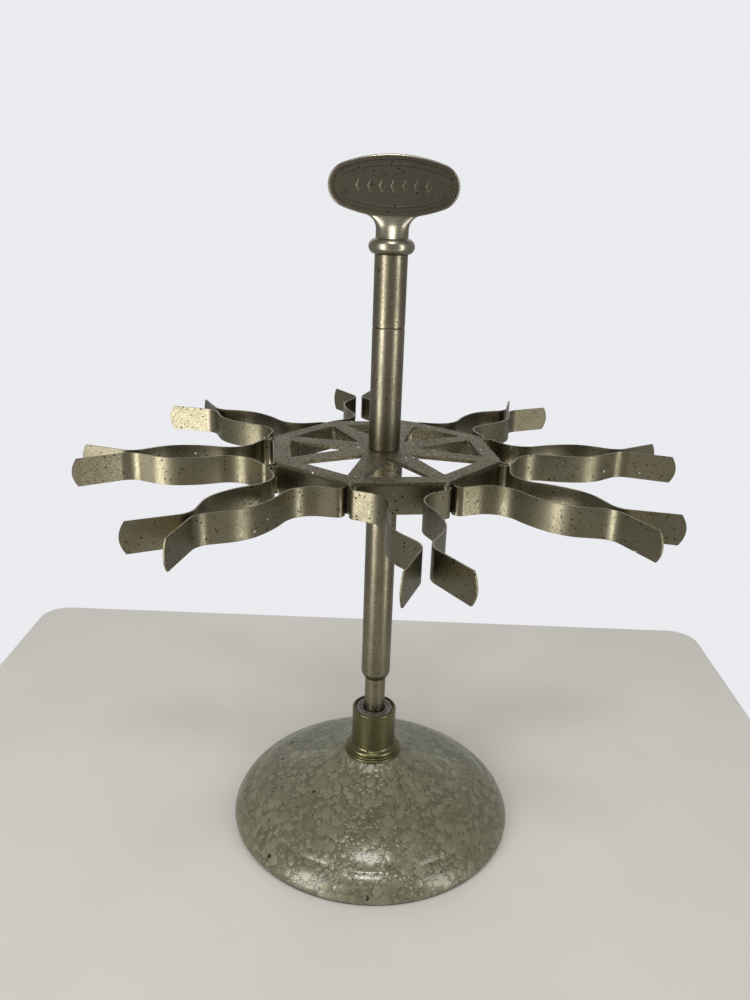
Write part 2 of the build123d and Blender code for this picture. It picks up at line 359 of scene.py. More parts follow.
def spindle_outline():
    foot, top = SPINDLE_LOW.z / MM, SPINDLE_HIGH.z / MM
    lip = (JOURNAL_R + 0.35, SHOULDER)
    outline = [(0, foot), (JOURNAL_R - 0.4, foot), (JOURNAL_R, foot + 0.4), (JOURNAL_R, SHOULDER), lip]
    outline += arc(lip, (POST_R - 0.5, SHOULDER + 1.5), (POST_R, SHOULDER + 3.0), 8)
    outline += [(POST_R, HUB_FOOT), (STEM_R, HUB_FOOT), (STEM_R, STEM_TOP), (THREAD_R, STEM_TOP)]
    return outline + [(THREAD_R, top), (0, top)]


def sleeve_outline(low, top, break_edge=0.3):
    inner = POST_R - break_edge
    outline = [(BORE_R, low), (inner, low), (POST_R, low + break_edge), (POST_R, top - break_edge)]
    return outline + [(inner, top), (BORE_R, top), (BORE_R, low)]


spindle = turned("spindle_bar", spindle_outline(), 80)
lower_tube = turned("lower_tube", sleeve_outline(WHEEL_TOP, SEAM), 80)
upper_tube = turned("upper_tube", sleeve_outline(SEAM, SLEEVE_TOP), 80)
print("post", round(2 * POST_R, 2), "mm thick, seam at", round(SEAM, 1), "mm")

# %% [markdown]
# ## The wheel
# The wheel is a casting: a thin web with eight three-cornered windows, a deep wall round its
# edge and a boss for the spindle. An octagon that is inset, poked and inset again falls into
# eight spokes with even windows, with no boolean. The inner corners of the windows are then
# pulled outwards, so that the spokes grow wider towards the hub, as they do on the casting.

# %% Give the wheel's sizes, and tests on places
SIDES = 8
STEP = math.tau / SIDES
PHASE = math.radians(8.0)
APOTHEM = 44.25
WEB = 1.5
RIM_WALL = 1.8
SPOKE_HALF = 3.09
WINDOW_OUT = 38.0
WINDOW_TIP = 13.2
BOSS_R = 7.8
CUT_PAST = 5


def side_distance(place):
    """How far out a place is, measured square to the nearest side of the wheel, in mm."""
    return max(
        place.x * math.cos(PHASE + STEP * side) + place.y * math.sin(PHASE + STEP * side)
        for side in range(SIDES)
    ) / MM


def radius_of(place):
    return math.hypot(place.x, place.y) / MM


def upright(edge):
    """True for an edge that runs straight up."""
    start, end = (vertex.co for vertex in edge.verts)
    return math.hypot(start.x - end.x, start.y - end.y) < 0.01 * MM


# %% Model the wheel's web, windows and wall


def wheel_blank():
    """The casting without its boss and bore."""
    deselect_all()
    corner_r = APOTHEM * MM / math.cos(STEP / 2)
    bpy.ops.mesh.primitive_circle_add(
        vertices=SIDES, radius=corner_r, fill_type="NGON",
        location=(0, 0, WHEEL_TOP * MM), rotation=(0, 0, PHASE + STEP / 2),
    )
    piece = name_active("wheel_casting")
    bpy.ops.object.transform_apply(location=True, rotation=True, scale=True)
    bpy.ops.object.mode_set(mode="EDIT")
    bpy.ops.mesh.select_all(action="SELECT")
    bpy.ops.mesh.inset(thickness=RIM_WALL * MM)
    bpy.ops.mesh.inset(thickness=(APOTHEM - RIM_WALL - WINDOW_OUT - SPOKE_HALF) * MM)
    bpy.ops.mesh.poke()
    bpy.ops.mesh.inset(thickness=SPOKE_HALF * MM, use_individual=True)
    bpy.ops.mesh.delete(type="FACE")
    tip = SPOKE_HALF / math.sin(STEP / 2)
    select_where("VERT", lambda vertex: 0.5 * tip < radius_of(vertex.co) < 1.5 * tip)
    pull = WINDOW_TIP / tip
    bpy.ops.transform.resize(value=(pull, pull, 1), center_override=(0, 0, 0))
    bpy.ops.mesh.select_all(action="SELECT")
    extrude((0, 0, -WEB * MM))
    bpy.ops.mesh.select_all(action="SELECT")
    bpy.ops.mesh.normals_make_consistent(inside=False)

    def under_rim(face):
        return face.normal.z < -0.9 and side_distance(face.calc_center_median()) > APOTHEM - RIM_WALL

    select_where("FACE", under_rim)
    extrude((0, 0, -(WHEEL_TOP - WEB - HUB_FOOT) * MM))
    select_where("EDGE", lambda edge: upright(edge) and radius_of(edge.verts[0].co) < WINDOW_OUT + 2.5)
    bpy.ops.mesh.bevel(offset=1.1 * MM, segments=4, affect="EDGES")
    select_where("EDGE", lambda edge: upright(edge) and radius_of(edge.verts[0].co) > APOTHEM + 0.5)
    bpy.ops.mesh.bevel(offset=1.5 * MM, segments=4, affect="EDGES")
    close_mesh()
    return piece


# %% Add the boss and cut the bore


def combine(piece, other, operation):
    """Adds another piece to this one or cuts it away, and removes the other."""
    use_modifier(piece, "BOOLEAN", operation=operation, object=other, solver="EXACT")
    bpy.data.objects.remove(other)


def plug(name, radius, low, top):
    """A plain cylinder round the spindle's axis, to join to the wheel or to cut from it."""
    return turned(name, [(0, low), (radius, low), (radius, top), (0, top)], 64)


wheel = wheel_blank()
combine(wheel, plug("boss", BOSS_R, HUB_FOOT, WHEEL_TOP - WEB / 2), "UNION")
combine(wheel, plug("bore", BORE_R, HUB_FOOT - CUT_PAST, WHEEL_TOP + CUT_PAST), "DIFFERENCE")
soften(wheel, 0.32, 50, 3)
print("wheel", round(2 * APOTHEM, 1), "mm across flats,", len(wheel.data.polygons), "faces")

# %% [markdown]
# ## The spring clips
# Each clip is one strip of spring metal, bent by hand tools into a flat back, two loops and two
# arms that swell, pinch and flare. A solid block could be cut to that shape, but bending is
# simpler and truer: an upright line is pushed along straights and spun round bends, half a
# clip is mirrored, and Solidify gives the strip its thickness. The tip is rounded before that.

# %% Helpers for bending
SPIN_SIDE = -1  # mesh.spin turns to the right about an axis that points up


class Bender:
    """Pushes what is selected along a flat path, and keeps the path's end and direction."""

    def __init__(self, place, heading):
        self.place = Vector(place)
        self.heading = heading

    def ahead(self):
        return Vector((math.cos(self.heading), math.sin(self.heading), 0))

    def straight(self, length):
        extrude(self.ahead() * length * MM)
        self.place += self.ahead() * length * MM

    def bend(self, radius, turn, steps):
        """Turns by degrees, positive to the left."""
        side = 1 if turn > 0 else -1
        left = Vector((-math.sin(self.heading), math.cos(self.heading), 0))
        centre = self.place + left * side * radius * MM
        bpy.ops.mesh.spin(
            steps=steps, angle=math.radians(abs(turn)), center=centre, axis=(0, 0, SPIN_SIDE * side)
        )
        swing = Matrix.Rotation(math.radians(turn), 3, "Z")
        self.place = centre + swing @ (self.place - centre)
        self.heading += math.radians(turn)


# %% Bend one clip
CLIP_LOW, CLIP_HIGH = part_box("clip_1")
STRIP = 0.7
STRIP_H = (CLIP_HIGH.z - CLIP_LOW.z) / MM
BACK_HALF = 15.4
TIP_BULGE = 2.0
TIP_ROWS = 8
ARM = [
    (2.6, -150, 14),
    (5.6, None, 2),
    (11.7, 78, 14),
    (1.7, None, 1),
    (43.0, -18, 6),
    (19.8, -32, 6),
    (6.0, None, 1),
    (8.0, 58, 9),
    (14.0, None, 2),
]  # radius, turn in degrees and steps of a bend, or length, None and steps of a straight
TIP_RUN = 4.84


def bent_half():
    """Half a clip as a sheet with no thickness, pointing along +X."""
    start = Vector(((APOTHEM + STRIP / 2) * MM, 0, CLIP_LOW.z))
    piece = start_point("clip", start)
    for row in range(TIP_ROWS):
        extrude((0, 0, STRIP_H * MM / TIP_ROWS))
    bpy.ops.mesh.select_all(action="SELECT")
    bender = Bender(start, math.radians(90))
    bender.straight(BACK_HALF)
    for size, turn, steps in ARM:
        if turn is None:
            for step in range(steps):
                bender.straight(size / steps)
        else:
            bender.bend(size, turn, steps)
    bender.straight(TIP_RUN)
    mesh = bmesh.from_edit_mesh(piece.data)
    mesh.verts.index_update()
    tip = [vertex.index for vertex in mesh.verts if vertex.select]
    middle = (CLIP_LOW.z + CLIP_HIGH.z) / 2
    for row in range(TIP_ROWS // 2 + 1):
        height = STRIP_H * MM * row / TIP_ROWS
        back = bender.ahead() * -TIP_BULGE * MM * (2 * row / TIP_ROWS) ** 2

        def on_row(vertex):
            return vertex.index in tip and abs(abs(vertex.co.z - middle) - height) < 0.01 * MM

        select_where("VERT", on_row)
        bpy.ops.transform.translate(value=back)
    close_mesh()
    return piece


def thicken(piece):
    """Mirrors the half, gives the strip its thickness and breaks its edges."""
    use_modifier(
        piece, "MIRROR", use_axis=(False, True, False), use_mirror_merge=True, merge_threshold=0.002 * MM
    )
    use_modifier(
        piece, "SOLIDIFY", thickness=STRIP * MM, offset=0, use_even_offset=True, material_offset_rim=1
    )
    soften(piece, 0.1, 55, 2)


# %% Make all eight clips
first_clip = bent_half()
thicken(first_clip)
clips = [first_clip]
for index in range(1, SIDES):
    copy = first_clip.copy()
    copy.data = first_clip.data.copy()
    bpy.context.scene.collection.objects.link(copy)
    clips.append(copy)
for index, clip in enumerate(clips):
    clip.name = f"spring_{index + 1}"
    clip.data.name = clip.name
    clip.data.transform(Matrix.Rotation(PHASE + STEP * index, 4, "Z"))
print("strip height", round(STRIP_H, 2), "mm,", len(clips), "clips")

# %% [markdown]
# ## The finial
# The knob ends the spindle: a bead, a neck that starts round and flattens as it rises, and an
# oval plate with a raised rim. The plate is drawn lying down, from four arcs. Insets with a
# little depth then give the rim, the recess and a fine raised line. The neck is one ring of
# vertices, pushed up and scaled in two directions until it meets the plate.

# %% Model the oval plate
OVAL_Z = 276.0
OVAL_HALF_W = 24.35
OVAL_HALF_H = 11.08
OVAL_END_R = 8.2
PLATE = 4.4
RIM = 1.75
RECESS = 0.6
LINE_UP = 0.3
PIPS = 7
PIP_GAP = 4.3
PIP_HALF_H = 2.3
PIP_NARROW = 0.52
PIP_SUNK = 0.1


def oval_plate():
    """The plate lying down, with its rim, recess and raised line on both faces."""
    end_x = OVAL_HALF_W - OVAL_END_R
    rise = OVAL_HALF_H - OVAL_END_R
    drop = (end_x**2 - rise**2) / (2 * rise)
    half_turn = math.degrees(math.atan2(end_x, drop))
    start = Vector((0, OVAL_HALF_H, 0)) * MM
    piece = start_point("knob", start)
    bender = Bender(start, 0)
    bender.bend(OVAL_HALF_H + drop, -half_turn, 12)
    bender.bend(OVAL_END_R, 2 * half_turn - 180, 22)
    bender.bend(OVAL_HALF_H + drop, -2 * half_turn, 24)
    bender.bend(OVAL_END_R, 2 * half_turn - 180, 22)
    bender.bend(OVAL_HALF_H + drop, -half_turn, 12)
    bpy.ops.mesh.select_all(action="SELECT")
    bpy.ops.mesh.remove_doubles(threshold=0.002 * MM)
    bpy.ops.transform.translate(value=(0, 0, -PLATE / 2 * MM))
    bpy.ops.mesh.edge_face_add()
    extrude((0, 0, PLATE * MM))
    bpy.ops.mesh.select_all(action="SELECT")
    bpy.ops.mesh.normals_make_consistent(inside=False)
    select_where("EDGE", lambda edge: not upright(edge))
    bpy.ops.mesh.bevel(offset=0.75 * MM, segments=4, affect="EDGES")
    select_where("FACE", lambda face: abs(face.normal.z) > 0.99 and face.calc_area() > (10 * MM) ** 2)
    for width, depth in [
        (RIM - 0.75, 0), (0.2, -RECESS), (1.45, 0), (0.16, LINE_UP), (0.3, 0), (0.16, -LINE_UP),
    ]:
        bpy.ops.mesh.inset(thickness=width * MM, depth=depth * MM)
    close_mesh()
    return piece


# %% Model the raised lozenges


def raised_pip(place_x, face):
    """A plain raised lozenge on one face of the plate."""
    centre = (place_x * MM, 0, face * (PLATE / 2 - RECESS - PIP_SUNK) * MM)
    deselect_all()
    bpy.ops.mesh.primitive_circle_add(vertices=4, radius=PIP_HALF_H * MM, fill_type="NGON", location=centre)
    pip = name_active("pip")
    bpy.ops.object.transform_apply(location=True, rotation=True, scale=True)
    bpy.ops.object.mode_set(mode="EDIT")
    bpy.ops.mesh.select_all(action="SELECT")
    bpy.ops.transform.resize(value=(PIP_NARROW, 1, 1), center_override=centre)
    extrude((0, 0, face * 0.2 * MM))
    extrude((0, 0, face * 0.15 * MM))
    bpy.ops.transform.resize(value=(0.6, 0.72, 1), center_override=centre)
    close_mesh()
    return pip


plate = oval_plate()
pips = [
    raised_pip((index - (PIPS - 1) / 2) * PIP_GAP, face) for face in (-1, 1) for index in range(PIPS)
]
STAND_UP = Matrix.Translation((0, 0, OVAL_Z * MM)) @ Matrix.Rotation(math.radians(90), 4, "X")
for piece in [plate] + pips:
    piece.data.transform(STAND_UP)
print("plate", round(2 * OVAL_HALF_W, 1), "by", round(2 * OVAL_HALF_H, 1), "mm,", len(pips), "lozenges")

# %% Model the bead and the neck, and join them to the plate
SPIGOT_R = 4.7
SPIGOT_FOOT = 221.0
THREAD_TOP = 240.0
BEAD_R = 8.8
BEAD_H = 5.4
NECK_R = 6.2
FLARE_R = 5.2


def neck_sections():
    """Half width, half depth and height of each ring from the spigot to the plate."""
    low, top = SLEEVE_TOP, SLEEVE_TOP + BEAD_H
    rings = [(SPIGOT_R, SPIGOT_R, low), (BEAD_R - 1.7, BEAD_R - 1.7, low)]
    bead = arc((BEAD_R - 1.7, low), (BEAD_R, low + BEAD_H / 2), (BEAD_R - 1.7, top), 14)
    rings += [(radius, radius, height) for radius, height in bead]
    rings += [(NECK_R + 0.1, NECK_R + 0.1, top + 0.15), (NECK_R, NECK_R - 0.3, top + 0.7)]
    start = top + 3.4
    rings += [(NECK_R, NECK_R - 1.2, start - 1.4), (NECK_R, NECK_R - 2.0, start)]
    for step in range(1, 9):
        swing = math.radians(82) * step / 8
        width = NECK_R + FLARE_R * (1 - math.cos(swing))
        height = start + FLARE_R * math.sin(swing)
        depth = 4.2 - 2.3 * math.sin(swing) ** 0.8
        rings.append((width, depth, height))
    return rings


def neck_and_bead():
    """The bead, the neck and the bored spigot, as one closed tube."""
    deselect_all()
    bpy.ops.mesh.primitive_circle_add(vertices=64, radius=SPIGOT_R * MM, location=(0, 0, SPIGOT_FOOT * MM))
    piece = name_active("neck")
    bpy.ops.object.transform_apply(location=True, rotation=True, scale=True)
    bpy.ops.object.mode_set(mode="EDIT")
    bpy.ops.mesh.select_mode(type="EDGE")
    bpy.ops.mesh.select_all(action="SELECT")
    width, depth, height = SPIGOT_R, SPIGOT_R, SPIGOT_FOOT
    for new_width, new_depth, new_height in neck_sections():
        extrude((0, 0, (new_height - height) * MM))
        bpy.ops.transform.resize(value=(new_width / width, new_depth / depth, 1), center_override=(0, 0, 0))
        width, depth, height = new_width, new_depth, new_height
    bpy.ops.mesh.edge_face_add()
    select_where("VERT", lambda vertex: vertex.co.z < (SPIGOT_FOOT + 0.01) * MM)
    extrude((0, 0, 0))
    bore_scale = THREAD_R / SPIGOT_R
    bpy.ops.transform.resize(value=(bore_scale, bore_scale, 1), center_override=(0, 0, 0))
    extrude((0, 0, (THREAD_TOP - SPIGOT_FOOT) * MM))
    bpy.ops.mesh.edge_face_add()
    close_mesh()
    return piece


combine(plate, neck_and_bead(), "UNION")
soften(plate, 0.08, 50, 2)
deselect_all()
for piece in [plate] + pips:
    piece.select_set(True)
bpy.context.view_layer.objects.active = plate
bpy.ops.object.join()
print("knob height", round(max(vertex.co.z for vertex in plate.data.vertices) / MM, 2), "mm")

# %% [markdown]
# ## A shared kit for materials
# Every finish below is made of a few simple effects: dark pits, a mottled tone, draw marks and
# hammered cells. Each effect is a node group with named inputs and outputs, so a material only
# states its own values. The shader itself always stays in the material.

# %% Helpers for nodes


def add(tree, kind, settings=None, inputs=None):
    """Adds a node, sets its options, and fills or links its inputs."""
    made = tree.nodes.new("ShaderNode" + kind)
    for key, value in (settings or {}).items():
        setattr(made, key, value)
    for key, value in (inputs or {}).items():
        if isinstance(value, bpy.types.NodeSocket):
            tree.links.new(value, made.inputs[key])
        else:
            made.inputs[key].default_value = value
    return made


def calc(tree, operation, first, second=0.0):
    """One step of arithmetic on two values."""
    return add(tree, "Math", {"operation": operation}, {0: first, 1: second}).outputs[0]


def fade(tree, value, low, high, start=0.0, end=1.0):
    """Maps a value from low..high to start..end along a soft curve."""
    names = {"Value": value, "From Min": low, "From Max": high, "To Min": start, "To Max": end}
    return add(tree, "MapRange", {"interpolation_type": "SMOOTHSTEP"}, names).outputs[0]


def blend_colour(tree, factor, first, second):
    mixer = add(tree, "Mix", {"data_type": "RGBA"}, {0: factor, 6: first, 7: second})
    return mixer.outputs[2]


def noise(tree, place, scale, detail=3.0, roughness=0.55):
    names = {"Vector": place, "Scale": scale, "Detail": detail, "Roughness": roughness}
    return add(tree, "TexNoise", None, names).outputs["Fac"]


def new_group(name, inputs, outputs):
    """Makes a node group and returns its tree, its inputs and its outputs."""
    tree = bpy.data.node_groups.new(name, "ShaderNodeTree")
    for title, kind, value in inputs:
        socket = tree.interface.new_socket(title, in_out="INPUT", socket_type="NodeSocket" + kind)
        socket.default_value = value
    for title, kind in outputs:
        tree.interface.new_socket(title, in_out="OUTPUT", socket_type="NodeSocket" + kind)
    start = tree.nodes.new("NodeGroupInput")
    end = tree.nodes.new("NodeGroupOutput")
    return tree, start.outputs, end.inputs


def use_group(tree, group, inputs):
    """Places a group, fills its inputs and returns its outputs."""
    made = add(tree, "Group", {"node_tree": group}, None)
    for key, value in inputs.items():
        if isinstance(value, bpy.types.NodeSocket):
            tree.links.new(value, made.inputs[key])
        else:
            made.inputs[key].default_value = value
    return made.outputs


# %% Build the pit, mottle and mark effects


def pits_group():
    """Small spots of uneven size, scattered at random."""
    tree, given, result = new_group(
        "pits",
        [
            ("Place", "Vector", (0, 0, 0)),
            ("Scale", "Float", 300.0),
            ("Amount", "Float", 0.5),
            ("Size", "Float", 0.3),
        ],
        [("Mask", "Float")],
    )
    cells = add(tree, "TexVoronoi", None, {"Vector": given["Place"], "Scale": given["Scale"]})
    parts = add(tree, "SeparateColor", None, {"Color": cells.outputs["Color"]})
    present = calc(tree, "LESS_THAN", parts.outputs[0], given["Amount"])
    grown = calc(tree, "MULTIPLY_ADD", parts.outputs[1], 0.6)
    grown.node.inputs[2].default_value = 0.4
    radius = calc(tree, "MULTIPLY", given["Size"], grown)
    reach = calc(tree, "DIVIDE", cells.outputs["Distance"], radius)
    spot = fade(tree, reach, 0.7, 1.0, 1.0, 0.0)
    tree.links.new(calc(tree, "MULTIPLY", spot, present), result["Mask"])
    return tree


def mottle_group():
    """A soft change of tone: broad patches, and a fine grain."""
    tree, given, result = new_group(
        "mottle",
        [("Place", "Vector", (0, 0, 0)), ("Patch Scale", "Float", 60.0), ("Grain Scale", "Float", 1800.0)],
        [("Patch", "Float"), ("Grain", "Float")],
    )
    patch = noise(tree, given["Place"], given["Patch Scale"], 4.0, 0.6)
    grain = noise(tree, given["Place"], given["Grain Scale"], 2.0, 0.6)
    tree.links.new(fade(tree, patch, 0.3, 0.7), result["Patch"])
    tree.links.new(fade(tree, grain, 0.28, 0.72), result["Grain"])
    return tree


def marks_group():
    """Long faint lines up the bar, left by drawing it through a die."""
    tree, given, result = new_group(
        "draw_marks", [("Place", "Vector", (0, 0, 0)), ("Scale", "Float", 900.0)], [("Lines", "Float")]
    )
    flat = add(tree, "Mapping", None, {"Vector": given["Place"], "Scale": (1, 1, 0.03)})
    lines = noise(tree, flat.outputs[0], given["Scale"], 3.0, 0.65)
    tree.links.new(fade(tree, lines, 0.3, 0.7), result["Lines"])
    return tree


PITS = pits_group()
MOTTLE = mottle_group()
MARKS = marks_group()
print("shared effects:", [group.name for group in (PITS, MOTTLE, MARKS)])

# %% [markdown]
# ## Hammer enamel
# The base is sprayed with an enamel that draws itself into cells as it dries: pale round
# islands from two to six millimetres wide. The low ground and the net between them are painted
# darker, as painted shade in the crevices. Near the socket the cells are smaller and pulled into
# streaks that run down the slope. Two sizes of Voronoi cells give the islands, and a place
# measured round and down the dome gives the streaks.

# %% Build the hammered effect


def hammer_group():
    """Round islands in two sizes, the lines round them that carry the painted crevice shade, their height,
    and streaks.
    """
    tree, given, result = new_group(
        "hammer_cells",
        [("Place", "Vector", (0, 0, 0)), ("Island Scale", "Float", 225.0), ("Small Scale", "Float", 470.0)],
        [("Tone", "Float"), ("Net", "Float"), ("Height", "Float"), ("Streak", "Float")],
    )
    place = given["Place"]
    wobble = add(tree, "TexNoise", None, {"Vector": place, "Scale": 300.0, "Detail": 3.0, "Roughness": 0.6})
    half = (0.5, 0.5, 0.5)
    centred = add(tree, "VectorMath", {"operation": "SUBTRACT"}, {0: wobble.outputs["Color"], 1: half})
    pushed = add(tree, "VectorMath", {"operation": "SCALE"}, {0: centred.outputs[0], "Scale": 0.0022})
    warped = add(tree, "VectorMath", {"operation": "ADD"}, {0: place, 1: pushed.outputs[0]}).outputs[0]
    mixed = [0.0, 0.0, 0.0]
    for scale, share in ((given["Small Scale"], 1.0), (given["Island Scale"], 0.75)):
        nearest = add(tree, "TexVoronoi", {"feature": "F1"}, {"Vector": warped, "Scale": scale})
        random = add(tree, "SeparateColor", None, {"Color": nearest.outputs["Color"]}).outputs
        size = fade(tree, random[1], 0.0, 1.0, 0.45, 0.72)
        reach = calc(tree, "DIVIDE", nearest.outputs["Distance"], size)
        present = calc(tree, "LESS_THAN", random[2], share)
        inside = calc(tree, "MULTIPLY", present, fade(tree, reach, 0.93, 1.0, 1.0, 0.0))
        from_edge = calc(tree, "ABSOLUTE", calc(tree, "SUBTRACT", reach, 1.0))
        line = calc(tree, "MULTIPLY", present, fade(tree, from_edge, 0.0, 0.13, 1.0, 0.0))
        crown = fade(tree, reach, 0.0, 1.0, 1.0, 0.3)
        for index, value in enumerate((random[0], line, crown)):
            cover = calc(tree, "MAXIMUM", inside, line) if index == 1 else inside
            layers = {0: cover, 2: mixed[index], 3: value}
            mixed[index] = add(tree, "Mix", {"data_type": "FLOAT"}, layers).outputs[0]
    apart = add(tree, "SeparateXYZ", None, {0: place})
    across = calc(tree, "POWER", apart.outputs[0], 2.0)
    along = calc(tree, "POWER", apart.outputs[1], 2.0)
    radius = calc(tree, "SQRT", calc(tree, "ADD", across, along))
    flat = add(tree, "CombineXYZ", None, {0: apart.outputs[0], 1: apart.outputs[1]})
    unit = add(tree, "VectorMath", {"operation": "NORMALIZE"}, {0: flat.outputs[0]})
    rim = add(tree, "VectorMath", {"operation": "SCALE"}, {0: unit.outputs[0], "Scale": 0.03})
    down = add(tree, "CombineXYZ", None, {2: calc(tree, "MULTIPLY", radius, 0.45)})
    slope = add(tree, "VectorMath", {"operation": "ADD"}, {0: rim.outputs[0], 1: down.outputs[0]}).outputs[0]
    streak = fade(tree, noise(tree, slope, 420.0, 3.0, 0.6), 0.3, 0.7)
    near_top = fade(tree, radius, 0.014, 0.04, 1.0, 0.0)
    tree.links.new(mixed[0], result["Tone"])
    tree.links.new(mixed[1], result["Net"])
    tree.links.new(mixed[2], result["Height"])
    calm = add(tree, "Mix", {"data_type": "FLOAT"}, {0: near_top, 2: 0.5, 3: streak}).outputs[0]
    tree.links.new(calm, result["Streak"])
    return tree


HAMMER = hammer_group()
print("shared effect:", HAMMER.name)

# %% [markdown]
# ## The finishes
# Each kind of finish below is one function. A pale tone and a dark one are mixed by the mottle,
# pits darken them, and the bump comes from the same masks, so that what looks like a pit also
# catches the light like one.

# %% Helpers for finishes


def new_material(name):
    """A material with its shader, its tree and the place on the object."""
    material = bpy.data.materials.new(name)
    material.use_nodes = True
    tree = material.node_tree
    shader = tree.nodes["Principled BSDF"]
    place = tree.nodes.new("ShaderNodeTexCoord").outputs["Object"]
    return material, tree, shader, place


def bump(tree, shader, height, strength, distance):
    """Turns a height into relief, with its depth in millimetres."""
    made = add(tree, "Bump", None, {"Strength": strength, "Distance": distance * MM, "Height": height})
    tree.links.new(made.outputs[0], shader.inputs["Normal"])


def plated(name, dark, pale, rough, pits, flecks=0.0, marks=0.0, grain=0.25, bump_mm=0.05):
    """Aged plate: mottled tone, dark pits of a scale, amount and size, pale flecks and a fine grain."""
    material, tree, shader, place = new_material(name)
    tone = use_group(tree, MOTTLE, {"Place": place, "Patch Scale": 55.0, "Grain Scale": 1500.0})
    mixed = calc(tree, "MULTIPLY", tone["Patch"], 1 - grain)
    mixed = calc(tree, "ADD", mixed, calc(tree, "MULTIPLY", tone["Grain"], grain))
    if marks:
        lines = use_group(tree, MARKS, {"Place": place})["Lines"]
        mixed = add(tree, "Mix", {"data_type": "FLOAT"}, {0: marks, 2: mixed, 3: lines}).outputs[0]
    colour = blend_colour(tree, mixed, (*dark, 1), (*pale, 1))
    scale, amount, size = pits
    spread = {"Place": place, "Amount": amount, "Size": size}
    spots = use_group(tree, PITS, {"Scale": scale, **spread})["Mask"]
    fine = use_group(tree, PITS, {"Scale": scale * 2.2, **spread})["Mask"]
    holes = calc(tree, "MAXIMUM", spots, calc(tree, "MULTIPLY", fine, 0.6))
    colour = blend_colour(tree, calc(tree, "MULTIPLY", holes, 0.95), colour, (0.014, 0.011, 0.007, 1))
    paint = use_group(tree, PITS, {"Place": place, "Scale": 260.0, "Amount": flecks, "Size": 0.17})["Mask"]
    colour = blend_colour(tree, paint, colour, (0.62, 0.61, 0.55, 1))
    tree.links.new(colour, shader.inputs["Base Color"])
    tree.links.new(calc(tree, "SUBTRACT", 1.0, calc(tree, "MULTIPLY", paint, 0.9)), shader.inputs["Metallic"])
    low, high = rough
    tree.links.new(fade(tree, mixed, 0.0, 1.0, high, low), shader.inputs["Roughness"])
    relief = calc(tree, "SUBTRACT", calc(tree, "MULTIPLY", tone["Grain"], 0.45), holes)
    bump(tree, shader, relief, 0.5, bump_mm)
    return material


def hammer_enamel():
    """Glossy grey-green enamel with hammered cells and chips, and painted shade in the net and hollows
    between the cells.
    """
    material, tree, shader, place = new_material("hammer_enamel")
    cells = use_group(tree, HAMMER, {"Place": place})
    tone = use_group(tree, MOTTLE, {"Place": place, "Patch Scale": 38.0, "Grain Scale": 1400.0})
    island = blend_colour(tree, cells["Tone"], (0.092, 0.092, 0.05, 1), (0.185, 0.186, 0.118, 1))
    # Painted shade: where the height is low, between the raised islands, the colour is darkened as shade in
    # the hollows.
    colour = blend_colour(tree, fade(tree, cells["Height"], 0.0, 0.4), (0.068, 0.066, 0.034, 1), island)
    # Painted shade: the net round the cells is darkened, in clumps, as the shade that falls in the crevices
    # between them.
    clumps = fade(tree, noise(tree, place, 60.0, 3.0), 0.36, 0.6, 0.5, 1.0)
    outline = calc(tree, "MULTIPLY", cells["Net"], clumps)
    colour = blend_colour(tree, outline, colour, (0.04, 0.037, 0.02, 1))
    colour = blend_colour(tree, fade(tree, cells["Streak"], 0.4, 0.8, 0.0, 0.4), colour, (0.2, 0.2, 0.13, 1))
    yellowed = calc(tree, "MULTIPLY", tone["Patch"], 0.4)
    colour = blend_colour(tree, yellowed, colour, (0.11, 0.1, 0.04, 1))
    grain = calc(tree, "MULTIPLY", tone["Grain"], 0.22)
    colour = blend_colour(tree, grain, colour, (0.22, 0.22, 0.16, 1))
    warp = add(tree, "TexNoise", None, {"Vector": place, "Scale": 500.0, "Detail": 2.0})
    shift = add(tree, "VectorMath", {"operation": "SCALE"}, {0: warp.outputs["Color"], "Scale": 0.0022})
    ragged = add(tree, "VectorMath", {"operation": "ADD"}, {0: place, 1: shift.outputs[0]}).outputs[0]
    chips = use_group(tree, PITS, {"Place": ragged, "Scale": 120.0, "Amount": 0.35, "Size": 0.17})["Mask"]
    specks = use_group(tree, PITS, {"Place": ragged, "Scale": 420.0, "Amount": 0.25, "Size": 0.22})["Mask"]
    chipped = calc(tree, "MAXIMUM", chips, specks)
    colour = blend_colour(tree, chipped, colour, (0.014, 0.012, 0.008, 1))
    tree.links.new(colour, shader.inputs["Base Color"])
    tree.links.new(fade(tree, chipped, 0.0, 1.0, 0.3, 0.8), shader.inputs["Roughness"])
    shader.inputs["Metallic"].default_value = 0.25
    shader.inputs["Coat Weight"].default_value = 0.28
    shader.inputs["Coat Roughness"].default_value = 0.1
    height = calc(tree, "SUBTRACT", cells["Height"], calc(tree, "MULTIPLY", outline, 0.5))
    height = calc(tree, "ADD", height, calc(tree, "MULTIPLY", cells["Streak"], 0.5))
    height = calc(tree, "SUBTRACT", height, calc(tree, "MULTIPLY", chipped, 2.0))
    bump(tree, shader, height, 0.9, 0.2)
    return material


def felt():
    """Dark pressed felt."""
    material, tree, shader, place = new_material("felt")
    tone = use_group(tree, MOTTLE, {"Place": place, "Patch Scale": 90.0, "Grain Scale": 1600.0})
    colour = blend_colour(tree, tone["Grain"], (0.012, 0.013, 0.01, 1), (0.05, 0.052, 0.04, 1))
    tree.links.new(colour, shader.inputs["Base Color"])
    shader.inputs["Roughness"].default_value = 0.95
    bump(tree, shader, tone["Grain"], 0.8, 0.1)
    return material


